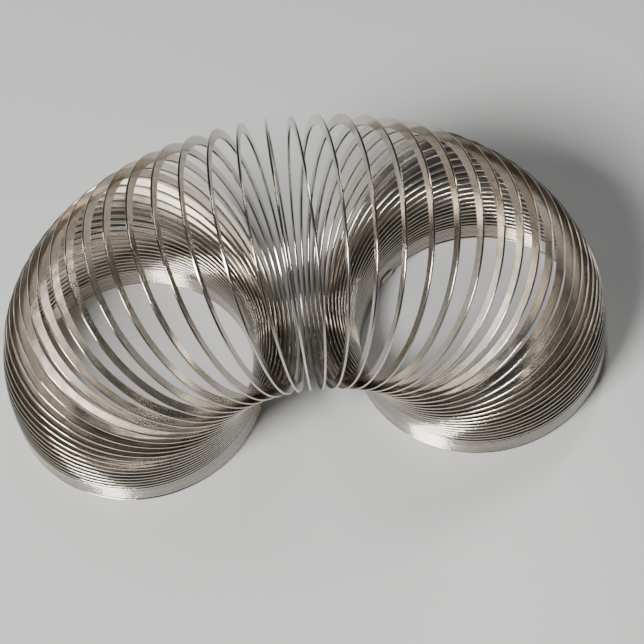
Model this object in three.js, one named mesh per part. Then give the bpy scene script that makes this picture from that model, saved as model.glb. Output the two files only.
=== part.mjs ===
// Spring coil toy: one long flat steel wire wound into a right-handed coil that stands as an arch.
// Millimetres, +Z up, the two feet side by side along X, the base at Z = 0, the origin midway between the feet.
//
// The wire is followed from its tip in the left foot, up, over the crown and down to its tip in the right
// foot. "turns" counts along it: 0 at the first seam above the left tip, one more each time round. The seam
// is the side of the coil that faces the inside of the arch, where the turns stay close together, and
// it is where one turn hands over to the next.

import * as THREE from "three";

// The wire and its winding
const OUTER_DIAMETER = 70;
const WIRE_WIDTH = 2.6; // across the flat, measured along the coil's radius
const WIRE_THICKNESS = 0.62;
const CLOSED_PITCH = 0.67; // turn to turn where the coil is shut: the wire and 0.05 of air
const MEAN_RADIUS = (OUTER_DIAMETER - WIRE_WIDTH) / 2;

// The arch
const FOOT_SPACING = 94.5; // between the middles of the two feet
const CLOSED_TURNS = 10; // shut turns in each foot
const ARCH_TURNS = 51; // turns that open like a fan, from foot to foot
const TURNS = ARCH_TURNS + 2 * CLOSED_TURNS;
const FAN_FOOT_SHARE = 0.23; // how open the turns beside the feet are, as a share of those at the crown
const FAN_POWER = 2.24; // above 1 gathers the rest of the bend at the crown

// The tips
const TIP_OVERLAP = 49.5 / 360; // how far each tip runs on past its last seam, in turns
const FLAT_SHARE = 11 / 12; // the part of the lowest turn that lies flat on the table
const CRIMP_LENGTH = 5;
const CRIMP_HEIGHT = 2.8;
const CRIMP_SHEET = 0.6;

// Building
const TURNS_PER_BLOCK = 5; // shut turns are grouped: they lie on each other and move together
const SIDES_PER_TURN = 24;
const SHORTEST_SIDE = 0.25; // a tip ends at least this share of a side from the next section
const PIECE_GAP = 0.3; // air where two pieces would touch
const FOOT_CLEARANCE = 0.15; // the crimp hangs this far above the table

const STEEL = 0xb9b6ae;
const CRIMP_STEEL = 0xa39a8a;

// How far each arch turn opens on the side away from the seam, in radians, and together half a circle.
function fanAngles() {
  const open = [];
  for (let k = 0; k < ARCH_TURNS; k += 1) {
    const fromCrown = (2 * k + 1) / ARCH_TURNS - 1;
    const swell = (1 - fromCrown ** 2) ** FAN_POWER;
    open.push(FAN_FOOT_SHARE + (1 - FAN_FOOT_SHARE) * swell);
  }
  const total = open.reduce((sum, value) => sum + value, 0);
  return open.map((value) => (Math.PI * value) / total);
}

// The frame of the coil at each seam of the arch: its tilt from upright and the seam's own place.
// Each turn is tilted about a line a little inside the arch, at the same inset for every turn, and the
// inset is whatever sets the feet at their spacing.
function archSeams() {
  const angles = fanAngles();
  const halfGap = FOOT_SPACING / 2 - MEAN_RADIUS;
  let tilt = 0;
  let shutReach = 0;
  for (const angle of angles) {
    shutReach += CLOSED_PITCH * meanSine(tilt, angle);
    tilt += angle;
  }
  const inset = halfGap - shutReach / 2;
  const seams = [{ tilt: 0, x: -halfGap, z: footHeight() }];
  for (const angle of angles) {
    const last = seams[seams.length - 1];
    const step = CLOSED_PITCH + inset * angle;
    seams.push({
      tilt: last.tilt + angle,
      x: last.x + step * meanSine(last.tilt, angle),
      z: last.z + step * meanCosine(last.tilt, angle),
    });
  }
  return seams;
}

function meanSine(start, angle) {
  return (Math.cos(start) - Math.cos(start + angle)) / angle;
}

function meanCosine(start, angle) {
  return (Math.sin(start + angle) - Math.sin(start)) / angle;
}

function footHeight() {
  return WIRE_THICKNESS / 2 + CLOSED_PITCH * (CLOSED_TURNS + TIP_OVERLAP);
}

// Height of the wire's middle at a number of turns from a tip: flat, then a short ramp, then a plain helix.
function heightFromTip(turns) {
  const ramp = Math.max(0, (turns - FLAT_SHARE) / (1 - FLAT_SHARE));
  return WIRE_THICKNESS / 2 + CLOSED_PITCH * (turns < 1 ? ramp : turns);
}

// The coil's frame at a number of turns along the wire: the seam side's place and the tilt from upright.
function frameAt(turns, seams) {
  const halfGap = FOOT_SPACING / 2 - MEAN_RADIUS;
  if (turns <= CLOSED_TURNS) {
    return { tilt: 0, x: -halfGap, z: heightFromTip(turns + TIP_OVERLAP) };
  }
  if (turns >= TURNS - CLOSED_TURNS) {
    return { tilt: Math.PI, x: halfGap, z: heightFromTip(TURNS - turns + TIP_OVERLAP) };
  }
  const index = Math.min(ARCH_TURNS - 1, Math.floor(turns - CLOSED_TURNS));
  const from = seams[index];
  const to = seams[index + 1];
  const share = turns - CLOSED_TURNS - index;
  const angle = to.tilt - from.tilt;
  const tilt = from.tilt + angle * share;
  const length = (to.x - from.x) / meanSine(from.tilt, angle);
  const safeAngle = Math.max(1e-9, angle * share);
  return {
    tilt,
    x: from.x + length * share * meanSine(from.tilt, safeAngle),
    z: from.z + length * share * meanCosine(from.tilt, safeAngle),
  };
}

// The four corners of the wire's section at a number of turns along it.
function wireSection(turns, seams) {
  const frame = frameAt(turns, seams);
  const angle = 2 * Math.PI * turns;
  const outward = new THREE.Vector3(-Math.cos(frame.tilt), 0, Math.sin(frame.tilt));
  const along = new THREE.Vector3(Math.sin(frame.tilt), 0, Math.cos(frame.tilt));
  const radial = outward.clone().multiplyScalar(-Math.cos(angle));
  radial.y = Math.sin(angle);
  const centre = new THREE.Vector3(frame.x, 0, frame.z).addScaledVector(outward, MEAN_RADIUS);
  const middle = centre.addScaledVector(radial, MEAN_RADIUS);
  const corner = (across, up) =>
    middle
      .clone()
      .addScaledVector(radial, (across * WIRE_WIDTH) / 2)
      .addScaledVector(along, (up * WIRE_THICKNESS) / 2);
  return [corner(1, -1), corner(1, 1), corner(-1, 1), corner(-1, -1)];
}

// The places along the wire where a section is taken: both ends, and the same directions in every turn.
function stations(start, end) {
  const places = [start];
  const first = Math.floor(start * SIDES_PER_TURN + SHORTEST_SIDE) + 1;
  for (let side = first; side < end * SIDES_PER_TURN - SHORTEST_SIDE; side += 1) {
    places.push(side / SIDES_PER_TURN);
  }
  places.push(end);
  return places;
}

// One closed body of wire between two places along it.
function wireGeometry(start, end, seams) {
  const points = [];
  const faces = [];
  const places = stations(start, end);
  for (const place of places) {
    for (const point of wireSection(place, seams)) {
      points.push(point.x, point.y, point.z);
    }
  }
  for (let ring = 0; ring + 1 < places.length; ring += 1) {
    for (let side = 0; side < 4; side += 1) {
      const a = 4 * ring + side;
      const b = 4 * ring + ((side + 1) % 4);
      faces.push(a, a + 4, b + 4, a, b + 4, b);
    }
  }
  const last = 4 * (places.length - 1);
  faces.push(0, 1, 2, 0, 2, 3);
  faces.push(last, last + 2, last + 1, last, last + 3, last + 2);
  return closedGeometry(points, faces);
}

function closedGeometry(points, faces) {
  const geometry = new THREE.BufferGeometry();
  geometry.setAttribute("position", new THREE.Float32BufferAttribute(points, 3));
  geometry.setIndex(faces);
  geometry.computeVertexNormals();
  return geometry;
}

function steelMaterial() {
  return new THREE.MeshStandardMaterial({ color: STEEL, metalness: 1, roughness: 0.3 });
}

function crimpMaterial() {
  return new THREE.MeshStandardMaterial({ color: CRIMP_STEEL, metalness: 1, roughness: 0.45 });
}

// The cut back at a seam, in turns, that leaves half of the gap on each side.
function seamTrim() {
  return PIECE_GAP / 2 / (2 * Math.PI * MEAN_RADIUS);
}

function wirePiece(name, start, end, seams) {
  const piece = new THREE.Mesh(wireGeometry(start, end, seams), steelMaterial());
  piece.name = name;
  return piece;
}

// The shut turns of one foot, in blocks numbered from the table up.
function leftStack(seams) {
  const pieces = [];
  for (let block = 0; block < CLOSED_TURNS / TURNS_PER_BLOCK; block += 1) {
    const tip = block === 0;
    const start = tip ? -TIP_OVERLAP : block * TURNS_PER_BLOCK + seamTrim();
    const end = (block + 1) * TURNS_PER_BLOCK - seamTrim();
    pieces.push(wirePiece("left_stack_" + (block + 1), start, end, seams));
  }
  return pieces;
}

function rightStack(seams) {
  const pieces = [];
  for (let block = 0; block < CLOSED_TURNS / TURNS_PER_BLOCK; block += 1) {
    const tip = block === 0;
    const start = TURNS - (block + 1) * TURNS_PER_BLOCK + seamTrim();
    const end = tip ? TURNS + TIP_OVERLAP : TURNS - block * TURNS_PER_BLOCK - seamTrim();
    pieces.push(wirePiece("right_stack_" + (block + 1), start, end, seams));
  }
  return pieces;
}

// The fan of single turns, numbered from the left foot over the crown to the right foot.
function archTurns(seams) {
  const pieces = [];
  for (let k = 0; k < ARCH_TURNS; k += 1) {
    const start = CLOSED_TURNS + k + seamTrim();
    const end = CLOSED_TURNS + k + 1 - seamTrim();
    const number = String(k + 1).padStart(2, "0");
    pieces.push(wirePiece("arch_turn_" + number, start, end, seams));
  }
  return pieces;
}

// The folded crimp that covers a tip: a small rounded plate against the inside of the lowest turns.
function crimpOutline() {
  const half = CRIMP_LENGTH / 2;
  const corner = CRIMP_HEIGHT * 0.42;
  const outline = new THREE.Shape();
  outline.moveTo(-half + corner, 0);
  outline.lineTo(half - corner, 0);
  outline.absarc(half - corner, corner, corner, -Math.PI / 2, 0, false);
  outline.lineTo(half, CRIMP_HEIGHT - corner);
  outline.absarc(half - corner, CRIMP_HEIGHT - corner, corner, 0, Math.PI / 2, false);
  outline.lineTo(-half + corner, CRIMP_HEIGHT);
  outline.absarc(-half + corner, CRIMP_HEIGHT - corner, corner, Math.PI / 2, Math.PI, false);
  outline.lineTo(-half, corner);
  outline.absarc(-half + corner, corner, corner, Math.PI, Math.PI * 1.5, false);
  return outline;
}

function endCrimp(name, side) {
  const geometry = new THREE.ExtrudeGeometry(crimpOutline(), {
    depth: CRIMP_SHEET,
    bevelEnabled: false,
    curveSegments: 5,
  });
  const innerRadius = OUTER_DIAMETER / 2 - WIRE_WIDTH;
  const plateRadius = innerRadius - PIECE_GAP - CRIMP_SHEET;
  const seat = Math.sqrt(plateRadius ** 2 - (CRIMP_LENGTH / 2) ** 2);
  geometry.rotateX(Math.PI / 2);
  geometry.rotateZ(Math.PI / 2);
  geometry.translate(seat, 0, FOOT_CLEARANCE);
  const crimp = new THREE.Mesh(geometry, crimpMaterial());
  const tipAngle = 2 * Math.PI * TIP_OVERLAP - CRIMP_LENGTH / 2 / plateRadius;
  crimp.rotation.z = (side > 0 ? Math.PI : 0) - tipAngle;
  crimp.position.x = (side * FOOT_SPACING) / 2;
  crimp.name = name;
  return crimp;
}

function springCoilToy() {
  const seams = archSeams();
  const toy = new THREE.Group();
  toy.name = "spring_coil_toy";
  toy.add(...leftStack(seams));
  toy.add(...archTurns(seams));
  toy.add(...rightStack(seams));
  toy.add(endCrimp("left_end_crimp", -1));
  toy.add(endCrimp("right_end_crimp", 1));
  return toy;
}

export default springCoilToy();
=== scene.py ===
"""Spring coil toy: the looks. Metres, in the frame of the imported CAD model."""

import math

import bmesh
import bpy
import numpy as np
from mathutils import Matrix, Vector


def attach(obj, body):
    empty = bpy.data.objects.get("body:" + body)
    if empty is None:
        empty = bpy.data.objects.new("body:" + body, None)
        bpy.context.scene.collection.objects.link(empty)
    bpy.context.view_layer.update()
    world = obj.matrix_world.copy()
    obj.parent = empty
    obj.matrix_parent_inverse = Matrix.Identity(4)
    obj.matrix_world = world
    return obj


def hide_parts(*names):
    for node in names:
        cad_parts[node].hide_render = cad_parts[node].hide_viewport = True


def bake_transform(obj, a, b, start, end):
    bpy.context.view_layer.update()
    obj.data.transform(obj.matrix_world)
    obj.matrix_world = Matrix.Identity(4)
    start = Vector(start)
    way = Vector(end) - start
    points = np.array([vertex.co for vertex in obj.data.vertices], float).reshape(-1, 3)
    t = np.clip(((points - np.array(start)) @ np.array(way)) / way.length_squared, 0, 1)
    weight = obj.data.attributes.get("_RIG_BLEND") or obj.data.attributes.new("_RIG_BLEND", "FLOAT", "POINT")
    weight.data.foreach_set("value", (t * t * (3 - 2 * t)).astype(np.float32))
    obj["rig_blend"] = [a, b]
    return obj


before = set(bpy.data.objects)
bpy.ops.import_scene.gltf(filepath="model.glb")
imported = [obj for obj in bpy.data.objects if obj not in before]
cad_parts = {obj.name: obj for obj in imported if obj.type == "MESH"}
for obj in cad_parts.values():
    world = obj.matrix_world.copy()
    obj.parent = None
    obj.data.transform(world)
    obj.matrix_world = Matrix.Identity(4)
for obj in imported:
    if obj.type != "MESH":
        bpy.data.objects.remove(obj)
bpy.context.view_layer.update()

# ---------------------------------------------------------------- dimensions, as in the CAD

OUTER_DIAMETER = 0.070
WIRE_WIDTH = 0.0026
WIRE_THICKNESS = 0.00062
CLOSED_PITCH = 0.00067
MEAN_RADIUS = (OUTER_DIAMETER - WIRE_WIDTH) / 2
FOOT_SPACING = 0.0945
CLOSED_TURNS = 10
ARCH_TURNS = 51
TURNS = ARCH_TURNS + 2 * CLOSED_TURNS
FAN_FOOT_SHARE = 0.23  # how open the turns beside the feet are, as a share of those at the crown
FAN_POWER = 2.24  # above 1 gathers the rest of the bend at the crown
TIP_OVERLAP = 49.5 / 360  # turns that each tip runs on past its last seam
FLAT_SHARE = 11 / 12  # the part of the lowest turn that lies flat on the table
TURNS_PER_BLOCK = 5
HALF_GAP = FOOT_SPACING / 2 - MEAN_RADIUS

# The rolled wire's section: its narrow edges are rounded by the rolling.
EDGE_RADIUS = 0.00024
EDGE_STEPS = 3
STEPS_PER_TURN = 120
ROUNDING = 1e-6

# ---------------------------------------------------------------- the line of the coil


def fan_angles():
    """How far each arch turn opens on its outer side, in radians; together half a circle."""
    from_crown = (2 * np.arange(ARCH_TURNS) + 1) / ARCH_TURNS - 1
    swell = (1 - from_crown**2) ** FAN_POWER
    opening = FAN_FOOT_SHARE + (1 - FAN_FOOT_SHARE) * swell
    return math.pi * opening / opening.sum()


def mean_sine(start, angle):
    """Mean of the sine over an angle from start."""
    return (np.cos(start) - np.cos(start + angle)) / angle


def mean_cosine(start, angle):
    """Mean of the cosine over an angle from start."""
    return (np.sin(start + angle) - np.sin(start)) / angle


def arch_seams():
    """Tilt and place of the coil at each seam of the arch, and the length of each step between them."""
    angles = fan_angles()
    tilts = np.concatenate([[0.0], np.cumsum(angles)])
    shut_reach = (CLOSED_PITCH * mean_sine(tilts[:-1], angles)).sum()
    inset = HALF_GAP - shut_reach / 2
    steps = CLOSED_PITCH + inset * angles
    foot = WIRE_THICKNESS / 2 + CLOSED_PITCH * (CLOSED_TURNS + TIP_OVERLAP)
    x = -HALF_GAP + np.concatenate([[0.0], np.cumsum(steps * mean_sine(tilts[:-1], angles))])
    z = foot + np.concatenate([[0.0], np.cumsum(steps * mean_cosine(tilts[:-1], angles))])
    return angles, tilts, steps, x, z


ANGLES, TILTS, STEPS, SEAM_X, SEAM_Z = arch_seams()


def height_from_tip(turns):
    """Height of the wire's middle: flat on the table, then a short ramp, then a plain helix."""
    ramp = np.clip((turns - FLAT_SHARE) / (1 - FLAT_SHARE), 0, None)
    return WIRE_THICKNESS / 2 + CLOSED_PITCH * np.where(turns < 1, ramp, turns)


def coil_frame(turns):
    """Tilt, and the x and z of the seam side, at places counted in turns along the wire."""
    index = np.clip(np.floor(turns - CLOSED_TURNS).astype(int), 0, ARCH_TURNS - 1)
    share = np.clip(turns - CLOSED_TURNS - index, 0, 1)
    part = np.maximum(1e-9, ANGLES[index] * share)
    tilt = TILTS[index] + ANGLES[index] * share
    x = SEAM_X[index] + STEPS[index] * share * mean_sine(TILTS[index], part)
    z = SEAM_Z[index] + STEPS[index] * share * mean_cosine(TILTS[index], part)
    left = turns <= CLOSED_TURNS
    right = turns >= TURNS - CLOSED_TURNS
    tilt = np.where(left, 0.0, np.where(right, math.pi, tilt))
    x = np.where(left, -HALF_GAP, np.where(right, HALF_GAP, x))
    z = np.where(left, height_from_tip(turns + TIP_OVERLAP), z)
    z = np.where(right, height_from_tip(TURNS - turns + TIP_OVERLAP), z)
    return tilt, x, z


def wire_axes(turns):
    """Middle of the wire, its radial direction and its direction across the flat, at each place."""
    tilt, x, z = coil_frame(turns)
    zero = np.zeros_like(tilt)
    outward = np.stack([-np.cos(tilt), zero, np.sin(tilt)], axis=1)
    along = np.stack([np.sin(tilt), zero, np.cos(tilt)], axis=1)
    angle = 2 * math.pi * turns
    radial = -np.cos(angle)[:, None] * outward
    radial[:, 1] = np.sin(angle)
    middle = np.stack([x, zero, z], axis=1) + MEAN_RADIUS * (outward + radial)
    return middle, radial, along


# ---------------------------------------------------------------- the wire's pieces


def wire_section():
    """Points round the section, as (across, up) from its middle, with the normal at each."""
    points = []
    normals = []
    flat = WIRE_WIDTH / 2 - EDGE_RADIUS
    rise = WIRE_THICKNESS / 2 - EDGE_RADIUS
    for quarter, (across, up) in enumerate(((1, 1), (-1, 1), (-1, -1), (1, -1))):
        for step in range(EDGE_STEPS):
            angle = math.pi / 2 * (quarter + step / (EDGE_STEPS - 1))
            normal = (math.cos(angle), math.sin(angle))
            points.append(
                (across * flat + EDGE_RADIUS * normal[0], up * rise + EDGE_RADIUS * normal[1])
            )
            normals.append(normal)
    return np.array(points), np.array(normals)


SECTION, SECTION_NORMALS = wire_section()
ROUND = len(SECTION)
GIRTH = np.concatenate([[0.0], np.cumsum(
    np.linalg.norm(np.roll(SECTION, -1, axis=0) - SECTION, axis=1))])


def lift(middle, radial, along, plane):
    """Points or directions of the section's plane carried to every place along the wire."""
    carried = radial[:, None, :] * plane[None, :, :1] + along[:, None, :] * plane[None, :, 1:]
    return carried + middle[:, None, :]


def wire_faces(count):
    """Corners of the quads between "count" sections, then the two end caps."""
    ring = np.arange(count - 1)[:, None] * ROUND
    side = np.arange(ROUND)[None, :]
    after = (side + 1) % ROUND
    quads = np.stack(
        [ring + side, ring + ROUND + side, ring + ROUND + after, ring + after], axis=2
    ).reshape(-1, 4)
    first_cap = list(range(ROUND))
    last_cap = [(count - 1) * ROUND + i for i in reversed(range(ROUND))]
    return quads, first_cap, last_cap


def surface_map(lengths):
    """For each face corner, metres along the wire and metres round its section."""
    along_map = np.stack([lengths[:-1], lengths[1:], lengths[1:], lengths[:-1]], axis=1)
    along_map = np.repeat(along_map[:, None, :], ROUND, axis=1)
    round_map = np.stack([GIRTH[:-1], GIRTH[:-1], GIRTH[1:], GIRTH[1:]], axis=1)
    round_map = np.repeat(round_map[None, :, :], len(lengths) - 1, axis=0)
    surface = np.stack([along_map, round_map], axis=3).reshape(-1, 2)
    caps = np.concatenate([SECTION, SECTION[::-1]])
    caps[:, 0] += np.repeat([lengths[0], lengths[-1]], ROUND)
    return np.concatenate([surface, caps])


def wire_mesh(name, start, end):
    """A closed length of wire, and the place of each of its points in turns along the wire."""
    count = max(2, int(math.ceil((end - start) * STEPS_PER_TURN - ROUNDING)) + 1)
    turns = np.linspace(start, end, count)
    middle, radial, along = wire_axes(turns)
    points = lift(middle, radial, along, SECTION).reshape(-1, 3)
    normals = lift(np.zeros_like(middle), radial, along, SECTION_NORMALS).reshape(-1, 3)
    quads, first_cap, last_cap = wire_faces(count)

    mesh = bpy.data.meshes.new(name)
    mesh.from_pydata(points.tolist(), [], quads.tolist() + [first_cap, last_cap])
    mesh.polygons.foreach_set("use_smooth", [True] * len(mesh.polygons))
    layer = mesh.uv_layers.new(name="wire")
    mapped = surface_map(2 * math.pi * MEAN_RADIUS * turns)
    layer.data.foreach_set("uv", mapped.astype(np.float32).ravel())

    forward = np.cross(along, radial)
    ends = np.concatenate(
        [np.repeat(-forward[:1], ROUND, axis=0), np.repeat(forward[-1:], ROUND, axis=0)]
    )
    corner_normals = np.concatenate([normals[quads.ravel()], ends])
    mesh.normals_split_custom_set(corner_normals.tolist())
    mesh.validate()
    return mesh, np.repeat(turns, ROUND)


def piece(name, mesh):
    made = bpy.data.objects.new(name, mesh)
    bpy.context.scene.collection.objects.link(made)
    return made


def share_bend(made, bodies, weights):
    """The piece bends between two bodies, each point by the share that weights gives it."""
    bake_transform(made, *bodies, start=(0, 0, 0), end=(0, 0, OUTER_DIAMETER))
    held = made.data.attributes["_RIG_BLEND"]
    held.data.foreach_set("value", np.clip(weights, 0, 1).astype(np.float32))


def wire_piece(name, node_name, start, end, bodies, first, last, steel):
    """A length of wire that stands for a CAD node and bends evenly from turn "first" to turn "last"."""
    mesh, turns = wire_mesh(name, start, end)
    made = piece(name, mesh)
    made.data.materials.append(steel)
    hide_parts(node_name)
    share_bend(made, bodies, (turns - first) / (last - first))


def build_wire(steel):
    """Each arch turn bends with the hinge after it; the last two share the last hinge."""
    shut_end = TURNS - CLOSED_TURNS
    wire_piece("left_wire_lower", "left_stack_1", -TIP_OVERLAP, TURNS_PER_BLOCK,
               ("left_foot", "left_coil"), 1, TURNS_PER_BLOCK, steel)
    wire_piece("left_wire_upper", "left_stack_2", TURNS_PER_BLOCK, CLOSED_TURNS,
               ("left_coil", "turn_01"), TURNS_PER_BLOCK, CLOSED_TURNS, steel)
    for number in range(1, ARCH_TURNS + 1):
        start = CLOSED_TURNS + number - 1
        lower = min(number, ARCH_TURNS - 1)
        first = CLOSED_TURNS + lower - 1
        last = first + (1 if number < ARCH_TURNS - 1 else 2)
        wire_piece(f"arch_wire_{number:02d}", f"arch_turn_{number:02d}", start, start + 1,
                   (f"turn_{lower:02d}", f"turn_{lower + 1:02d}"), first, last, steel)
    wire_piece("right_wire_upper", "right_stack_2", shut_end, shut_end + TURNS_PER_BLOCK,
               (f"turn_{ARCH_TURNS}", "right_coil"), shut_end, shut_end + TURNS_PER_BLOCK, steel)
    wire_piece("right_wire_lower", "right_stack_1", shut_end + TURNS_PER_BLOCK,
               TURNS + TIP_OVERLAP, ("right_coil", "right_foot"),
               shut_end + TURNS_PER_BLOCK, TURNS - 1, steel)


# ---------------------------------------------------------------- the tips' crimps

CRIMP_LENGTH = 0.0050
CRIMP_HEIGHT = 0.0028
CRIMP_SHEET = 0.0006
CRIMP_BOTTOM = 0.00015
CRIMP_RINGS = 12
CRIMP_SPOKES = 64
OUTLINE_POWER = 3.4  # 2 would be an ellipse, and a large number a rectangle
RIM_POWER = 6  # how late the plate thins towards its rim
GROOVE_DEPTH = 0.20  # of half the sheet
GROOVE_WIDTH = 0.16  # of half the height
GROOVE_POWER = 4  # how late the groove fades towards the rim
SAME_POINT = 1e-7


def crimp_point(face, ring, spoke):
    """A point of the pressed plate: rounded outline, rolled rim, shallow fold line on its front."""
    reach = math.sin(math.pi / 2 * ring / CRIMP_RINGS)
    angle = 2 * math.pi * spoke / CRIMP_SPOKES
    c, s = math.cos(angle), math.sin(angle)
    scale = (abs(c) ** OUTLINE_POWER + abs(s) ** OUTLINE_POWER) ** (-1 / OUTLINE_POWER)
    across = reach * scale * c
    up = reach * scale * s
    depth = math.sqrt(max(0.0, 1 - reach**RIM_POWER))
    if face > 0:
        fold = math.exp(-((up / GROOVE_WIDTH) ** 2))
        depth -= GROOVE_DEPTH * fold * (1 - reach**GROOVE_POWER)
    return across * CRIMP_LENGTH / 2, face * CRIMP_SHEET / 2 * depth, up * CRIMP_HEIGHT / 2


def crimp_faces():
    """Rings of quads on both sides of the plate, each closed by a fan round its middle point."""
    faces = []
    n = CRIMP_SPOKES
    half = CRIMP_RINGS * n
    for face in (0, 1):
        base = face * half
        centre = 2 * half + face
        for spoke in range(n):
            after = (spoke + 1) % n
            tip = (centre, base + after, base + spoke)
            faces.append(tip if face == 0 else tip[::-1])
            for ring in range(CRIMP_RINGS - 1):
                a = base + ring * n
                quad = (a + spoke, a + after, a + n + after, a + n + spoke)
                faces.append(quad if face == 0 else quad[::-1])
    return faces


def crimp_mesh(name):
    """The flat plate, closed: the two sides share the points of the rim."""
    points = [
        crimp_point(face, ring, spoke)
        for face in (1, -1)
        for ring in range(1, CRIMP_RINGS + 1)
        for spoke in range(CRIMP_SPOKES)
    ]
    points.append((0, CRIMP_SHEET / 2 * (1 - GROOVE_DEPTH), 0))
    points.append((0, -CRIMP_SHEET / 2, 0))
    mesh = bpy.data.meshes.new(name)
    mesh.from_pydata(points, [], crimp_faces())
    front_rim = (CRIMP_RINGS - 1) * CRIMP_SPOKES
    back_rim = front_rim + CRIMP_RINGS * CRIMP_SPOKES
    for spoke in range(CRIMP_SPOKES):
        mesh.vertices[back_rim + spoke].co = mesh.vertices[front_rim + spoke].co
    mesh.polygons.foreach_set("use_smooth", [True] * len(mesh.polygons))
    work = bmesh.new()
    work.from_mesh(mesh)
    bmesh.ops.remove_doubles(work, verts=work.verts, dist=SAME_POINT)
    bmesh.ops.recalc_face_normals(work, faces=work.faces)
    work.to_mesh(mesh)
    work.free()
    return mesh


def end_crimp(name, node_name, side, body, metal):
    """The crimp, bent to follow the inside of the lowest turns, beside the wire's tip."""
    mesh = crimp_mesh(name)
    plate_radius = OUTER_DIAMETER / 2 - WIRE_WIDTH - CRIMP_SHEET / 2
    tip_angle = 2 * math.pi * TIP_OVERLAP - CRIMP_LENGTH / 2 / plate_radius
    base_angle = (math.pi if side > 0 else 0) - tip_angle
    middle_x = side * FOOT_SPACING / 2
    for vertex in mesh.vertices:
        across, depth, up = vertex.co
        angle = base_angle + across / plate_radius
        radius = plate_radius - depth
        vertex.co = (
            middle_x + radius * math.cos(angle),
            radius * math.sin(angle),
            CRIMP_BOTTOM + CRIMP_HEIGHT / 2 + up,
        )
    made = piece(name, mesh)
    made.data.materials.append(metal)
    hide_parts(node_name)
    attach(made, body)


# ---------------------------------------------------------------- materials

# Noise scales per metre: along the wire, round its section, and the unused third direction.
ROLLING_LINES = (25, 5200, 1)
WEAR_PATCHES = (90, 260, 1)
TARNISH = (22, 60, 1)
COIL_WARM = (0.50, 0.445, 0.375, 1)
COIL_BRIGHT = (0.75, 0.715, 0.665, 1)
LINE_ROUGHNESS = 0.035  # either side of the worn patches' own
LINE_DEPTH = 0.000008

CRIMP_GRAIN = (9000, 9000, 9000)
CRIMP_RUBBED = (900, 900, 900)
CRIMP_DARK = (0.50, 0.44, 0.37, 1)
CRIMP_BRIGHT = (0.74, 0.69, 0.61, 1)
CRIMP_GRAIN_DEPTH = 0.00003

FLOOR_COLOUR = (0.66, 0.68, 0.70, 1)
FLOOR_ROUGHNESS = 0.28


def node(tree, kind, **settings):
    """A shader node; settings that begin with in_ go to its inputs."""
    made = tree.nodes.new(kind)
    for key, value in settings.items():
        if key.startswith("in_"):
            made.inputs[key[3:].replace("_", " ")].default_value = value
        else:
            setattr(made, key, value)
    return made


def new_material(name):
    material = bpy.data.materials.new(name)
    material.use_nodes = True
    tree = material.node_tree
    return material, tree, tree.nodes["Principled BSDF"]


def stretched_noise(tree, source, scale, detail):
    """Noise with a scale of its own in each direction of the source."""
    mapping = node(tree, "ShaderNodeMapping")
    mapping.inputs["Scale"].default_value = scale
    tree.links.new(source, mapping.inputs["Vector"])
    noise = node(tree, "ShaderNodeTexNoise", in_Scale=1.0, in_Detail=detail, in_Roughness=0.55)
    tree.links.new(mapping.outputs["Vector"], noise.inputs["Vector"])
    return noise.outputs["Fac"]


def ranged(tree, value, low, high):
    """Noise, most of which lies between 0.3 and 0.7, spread from low to high."""
    made = node(tree, "ShaderNodeMapRange")
    made.inputs["From Min"].default_value = 0.3
    made.inputs["From Max"].default_value = 0.7
    made.inputs["To Min"].default_value = low
    made.inputs["To Max"].default_value = high
    tree.links.new(value, made.inputs["Value"])
    return made.outputs["Result"]


def tinted(tree, value, low, dark, high, bright):
    """Colour that goes from dark, where the value is low, to bright, where it is high."""
    tint = node(tree, "ShaderNodeValToRGB")
    for stop, place, colour in zip(tint.color_ramp.elements, (low, high), (dark, bright)):
        stop.position = place
        stop.color = colour
    tree.links.new(value, tint.inputs["Fac"])
    return tint.outputs["Color"]


def bumped(tree, value, strength, depth):
    bump = node(tree, "ShaderNodeBump", in_Strength=strength, in_Distance=depth)
    tree.links.new(value, bump.inputs["Height"])
    return bump.outputs["Normal"]


def coil_material():
    """Polished spring steel: rolling lines along the wire, patches of wear and a little warmth."""
    material, tree, shader = new_material("coil_steel_look")
    surface = node(tree, "ShaderNodeUVMap", uv_map="wire").outputs["UV"]
    lines = stretched_noise(tree, surface, ROLLING_LINES, 2)
    patches = stretched_noise(tree, surface, WEAR_PATCHES, 3)
    tarnish = stretched_noise(tree, surface, TARNISH, 4)
    tint = tinted(tree, tarnish, 0.32, COIL_WARM, 0.66, COIL_BRIGHT)
    tree.links.new(tint, shader.inputs["Base Color"])

    worn = ranged(tree, patches, 0.10, 0.20)
    lined = ranged(tree, lines, -LINE_ROUGHNESS, LINE_ROUGHNESS)
    rough = node(tree, "ShaderNodeMath", operation="ADD")
    tree.links.new(worn, rough.inputs[0])
    tree.links.new(lined, rough.inputs[1])
    tree.links.new(rough.outputs["Value"], shader.inputs["Roughness"])

    tree.links.new(bumped(tree, lines, 0.035, LINE_DEPTH), shader.inputs["Normal"])
    shader.inputs["Metallic"].default_value = 1.0
    return material


def crimp_material():
    """Pressed tip metal: satin, warmer, with a fine grain and rubbed patches."""
    material, tree, shader = new_material("crimp_steel_look")
    place = node(tree, "ShaderNodeTexCoord").outputs["Object"]
    grain = stretched_noise(tree, place, CRIMP_GRAIN, 3)
    rubbed = stretched_noise(tree, place, CRIMP_RUBBED, 3)
    tint = tinted(tree, rubbed, 0.3, CRIMP_DARK, 0.7, CRIMP_BRIGHT)
    tree.links.new(tint, shader.inputs["Base Color"])
    tree.links.new(ranged(tree, grain, 0.30, 0.48), shader.inputs["Roughness"])
    tree.links.new(bumped(tree, grain, 0.3, CRIMP_GRAIN_DEPTH), shader.inputs["Normal"])
    shader.inputs["Metallic"].default_value = 1.0
    return material


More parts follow.
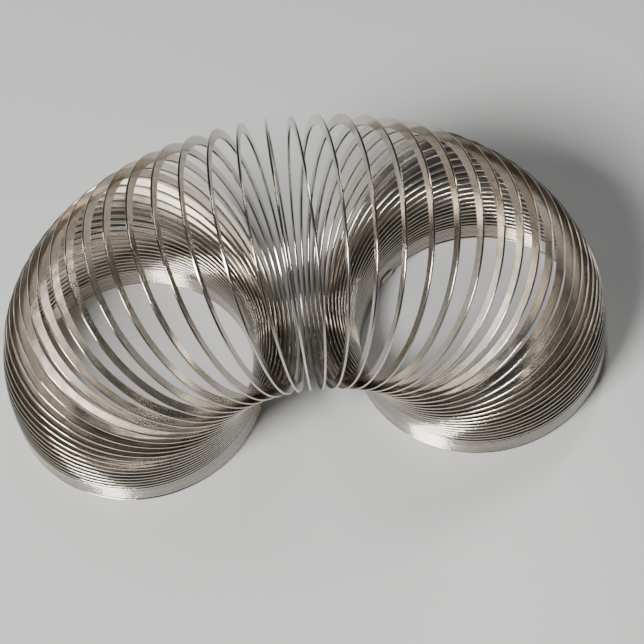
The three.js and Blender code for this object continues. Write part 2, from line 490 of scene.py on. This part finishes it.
def floor_material():
    material, _, shader = new_material("floor_look")
    shader.inputs["Base Color"].default_value = FLOOR_COLOUR
    shader.inputs["Roughness"].default_value = FLOOR_ROUGHNESS
    return material


# ---------------------------------------------------------------- floor, light and camera


FLOOR_REACH = 3.0


def build_floor():
    mesh = bpy.data.meshes.new("floor")
    r = FLOOR_REACH
    corners = [(-r, -r, 0), (r, -r, 0), (r, r, 0), (-r, r, 0)]
    mesh.from_pydata(corners, [], [(0, 1, 2, 3)])
    floor = piece("floor", mesh)
    floor.data.materials.append(floor_material())


LIGHT_TARGET = (0, 0, 0.04)
# Name, place, width, height, watts, colour
LIGHTS = (
    ("key_light", (-0.45, -0.42, 0.80), 0.30, 0.26, 15.0, (1.0, 0.97, 0.92)),
    ("right_strip", (0.66, 0.46, 0.34), 0.05, 0.55, 0.8, (1.0, 0.93, 0.82)),
    ("left_strip", (-0.74, 0.42, 0.16), 0.05, 0.50, 0.42, (1.0, 0.95, 0.88)),
    ("top_light", (0.10, 0.30, 0.95), 0.10, 0.24, 1.2, (1.0, 0.98, 0.95)),
)
WORLD_COLOUR = (0.80, 0.86, 0.95, 1)
WORLD_STRENGTH = 0.05


def area_light(name, place, width, height, power, colour):
    """A soft panel at a place, facing the middle of the coil."""
    light = bpy.data.lights.new(name, "AREA")
    light.shape = "RECTANGLE"
    light.size = width
    light.size_y = height
    light.energy = power
    light.color = colour
    made = bpy.data.objects.new(name, light)
    bpy.context.scene.collection.objects.link(made)
    made.location = place
    facing = Vector(LIGHT_TARGET) - Vector(place)
    made.rotation_euler = facing.to_track_quat("-Z", "Y").to_euler()


def build_light():
    for settings in LIGHTS:
        area_light(*settings)
    world = bpy.data.worlds.new("studio")
    bpy.context.scene.world = world
    world.use_nodes = True
    background = world.node_tree.nodes["Background"]
    background.inputs["Color"].default_value = WORLD_COLOUR
    background.inputs["Strength"].default_value = WORLD_STRENGTH


# The camera looks at the target from a distance, turned about the vertical, raised, and rolled.
CAMERA_TARGET = Vector((0.00491, 0.01209, 0.0))
CAMERA_DISTANCE = 0.63001
CAMERA_AZIMUTH = math.radians(2.522)
CAMERA_ELEVATION = math.radians(60.865)
CAMERA_ROLL = math.radians(-10.017)
CAMERA_LENS = 125.95


def build_camera():
    """The camera, from the turn, rise and roll of its line of sight."""
    a, e, r = CAMERA_AZIMUTH, CAMERA_ELEVATION, CAMERA_ROLL
    back = Vector((math.sin(a) * math.cos(e), -math.cos(a) * math.cos(e), math.sin(e)))
    level = (-back).cross(Vector((0, 0, 1))).normalized()
    upright = level.cross(-back)
    right = math.cos(r) * level + math.sin(r) * upright
    up = -math.sin(r) * level + math.cos(r) * upright
    camera = bpy.data.cameras.new("camera")
    camera.lens = CAMERA_LENS
    camera.sensor_width = 36
    camera.clip_start = 0.01
    made = bpy.data.objects.new("camera", camera)
    bpy.context.scene.collection.objects.link(made)
    turn = Matrix((right, up, back)).transposed().to_4x4()
    made.matrix_world = Matrix.Translation(CAMERA_TARGET + back * CAMERA_DISTANCE) @ turn
    bpy.context.scene.camera = made


build_camera()
build_light()
build_floor()
build_wire(coil_material())
crimp_metal = crimp_material()
end_crimp("left_tip_crimp", "left_end_crimp", -1, "left_foot", crimp_metal)
end_crimp("right_tip_crimp", "right_end_crimp", 1, "right_foot", crimp_metal)

bpy.context.view_layer.update()
